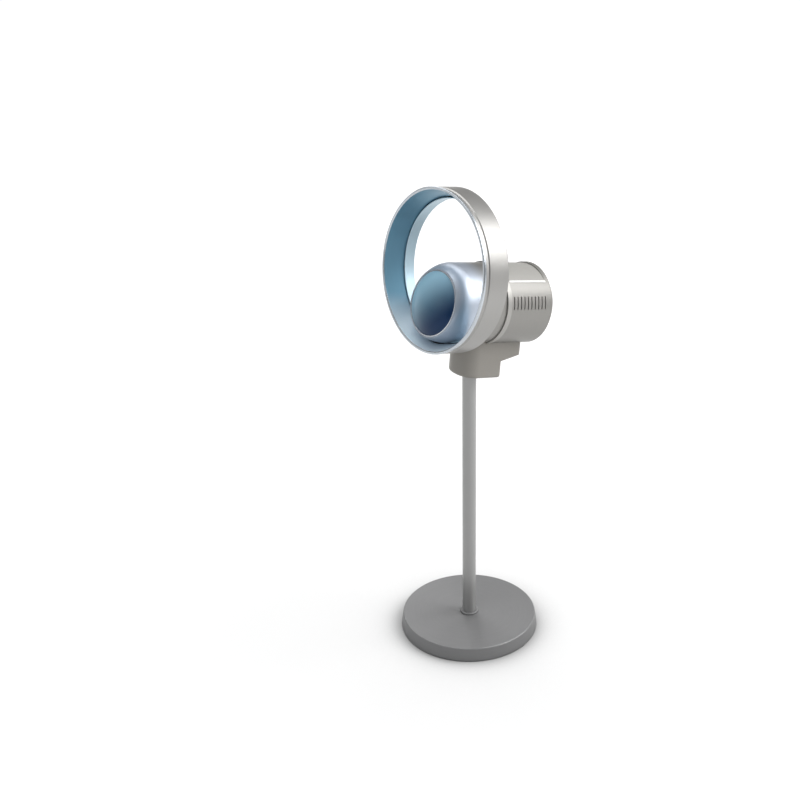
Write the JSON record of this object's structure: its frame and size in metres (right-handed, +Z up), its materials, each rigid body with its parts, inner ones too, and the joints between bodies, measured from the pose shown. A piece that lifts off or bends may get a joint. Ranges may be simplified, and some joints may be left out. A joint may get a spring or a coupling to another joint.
{
  "type": "pedestal fan",
  "caption": "Bladeless pedestal fan: round weighted base, plain pole, tilting blower pod with a domed lens, and a tall ring nozzle round its nose.",
  "frame": {"origin": "on the floor, on the pole's axis, at the middle of the base pad's underside", "axes": "+Z up along the pole, -Y the way the head blows, +X across the head"},
  "size_m": [0.303, 0.2977, 0.9508],
  "materials": {
    "head_metal": "fine brushed, warm nickel tone, satin",
    "bright_trim": "polished, bright",
    "base_metal": "fine brushed, satin",
    "pole_metal": "drawn tube, satin",
    "hardware_steel": "plain machined",
    "weight_iron": "as cast, dark",
    "soft_black": "matt",
    "plastic_black": "fine grained",
    "plastic_grey": "moulded, satin",
    "smoked_lens": "smoked, glossy",
    "circuit_board": "coated board with soldered parts",
    "winding": "enamelled copper wire",
    "screen_mesh": "fine dark mesh"
  },
  "bodies": {
    "stand": {"base_pad": "soft_black", "base_plate": "hardware_steel", "base_weight": "weight_iron", "base_cover": "base_metal", "base_screws": "hardware_steel", "power_inlet": "plastic_black", "inlet_pin": "hardware_steel", "power_lead": "soft_black", "pole_flange": "hardware_steel", "flange_bolts": "hardware_steel", "pole": "pole_metal", "pole_collar": "pole_metal", "pole_bush": "plastic_black", "lead_gland": "soft_black"},
    "swivel": {"swivel_neck": "hardware_steel", "thrust_washer": "plastic_black", "spigot_clip": "hardware_steel", "friction_washers": "plastic_black"},
    "head": {"tilt_bracket": "head_metal", "tilt_pin": "hardware_steel", "bracket_screws": "hardware_steel", "pod_front_shell": "head_metal", "pod_rear_shell": "head_metal", "trim_band": "bright_trim", "top_panel": "head_metal", "panel_trims": "bright_trim", "rear_cap": "head_metal", "intake_screens": "screen_mesh", "display_lens": "smoked_lens", "lens_bezel": "bright_trim", "display_carrier": "plastic_black", "display_board": "circuit_board", "ring_front_trim": "bright_trim", "ring_outer_shell": "head_metal", "ring_diffuser": "head_metal", "ring_throat": "head_metal", "slot_spacers": "plastic_black", "ring_saddle": "head_metal", "fan_housing": "plastic_grey", "vibration_mounts": "soft_black", "guide_vanes": "plastic_grey", "motor_can": "hardware_steel", "motor_endcap": "hardware_steel", "motor_bearings": "hardware_steel", "motor_stator": "winding", "front_bulkhead": "plastic_black", "control_board": "circuit_board", "board_posts": "plastic_black"},
    "fan": {"impeller": "plastic_grey", "motor_shaft": "hardware_steel", "motor_rotor": "hardware_steel", "impeller_nut": "hardware_steel"}
  },
  "joints": [
    {"name": "swivel", "type": "hinge", "parent": "stand", "child": "swivel", "pos_m": [0, 0, 0.5741], "axis": [0, 0, 1], "range_deg": [-45, 45]},
    {"name": "tilt", "type": "hinge", "parent": "swivel", "child": "head", "pos_m": [0, 0, 0.598], "axis": [-1, 0, 0], "range_deg": [-8, 10]},
    {"name": "fan_spin", "type": "hinge", "parent": "head", "child": "fan", "pos_m": [0, -0.0996, 0.7428], "axis": [0, -0.9705, 0.2411], "continuous": true}
  ]
}
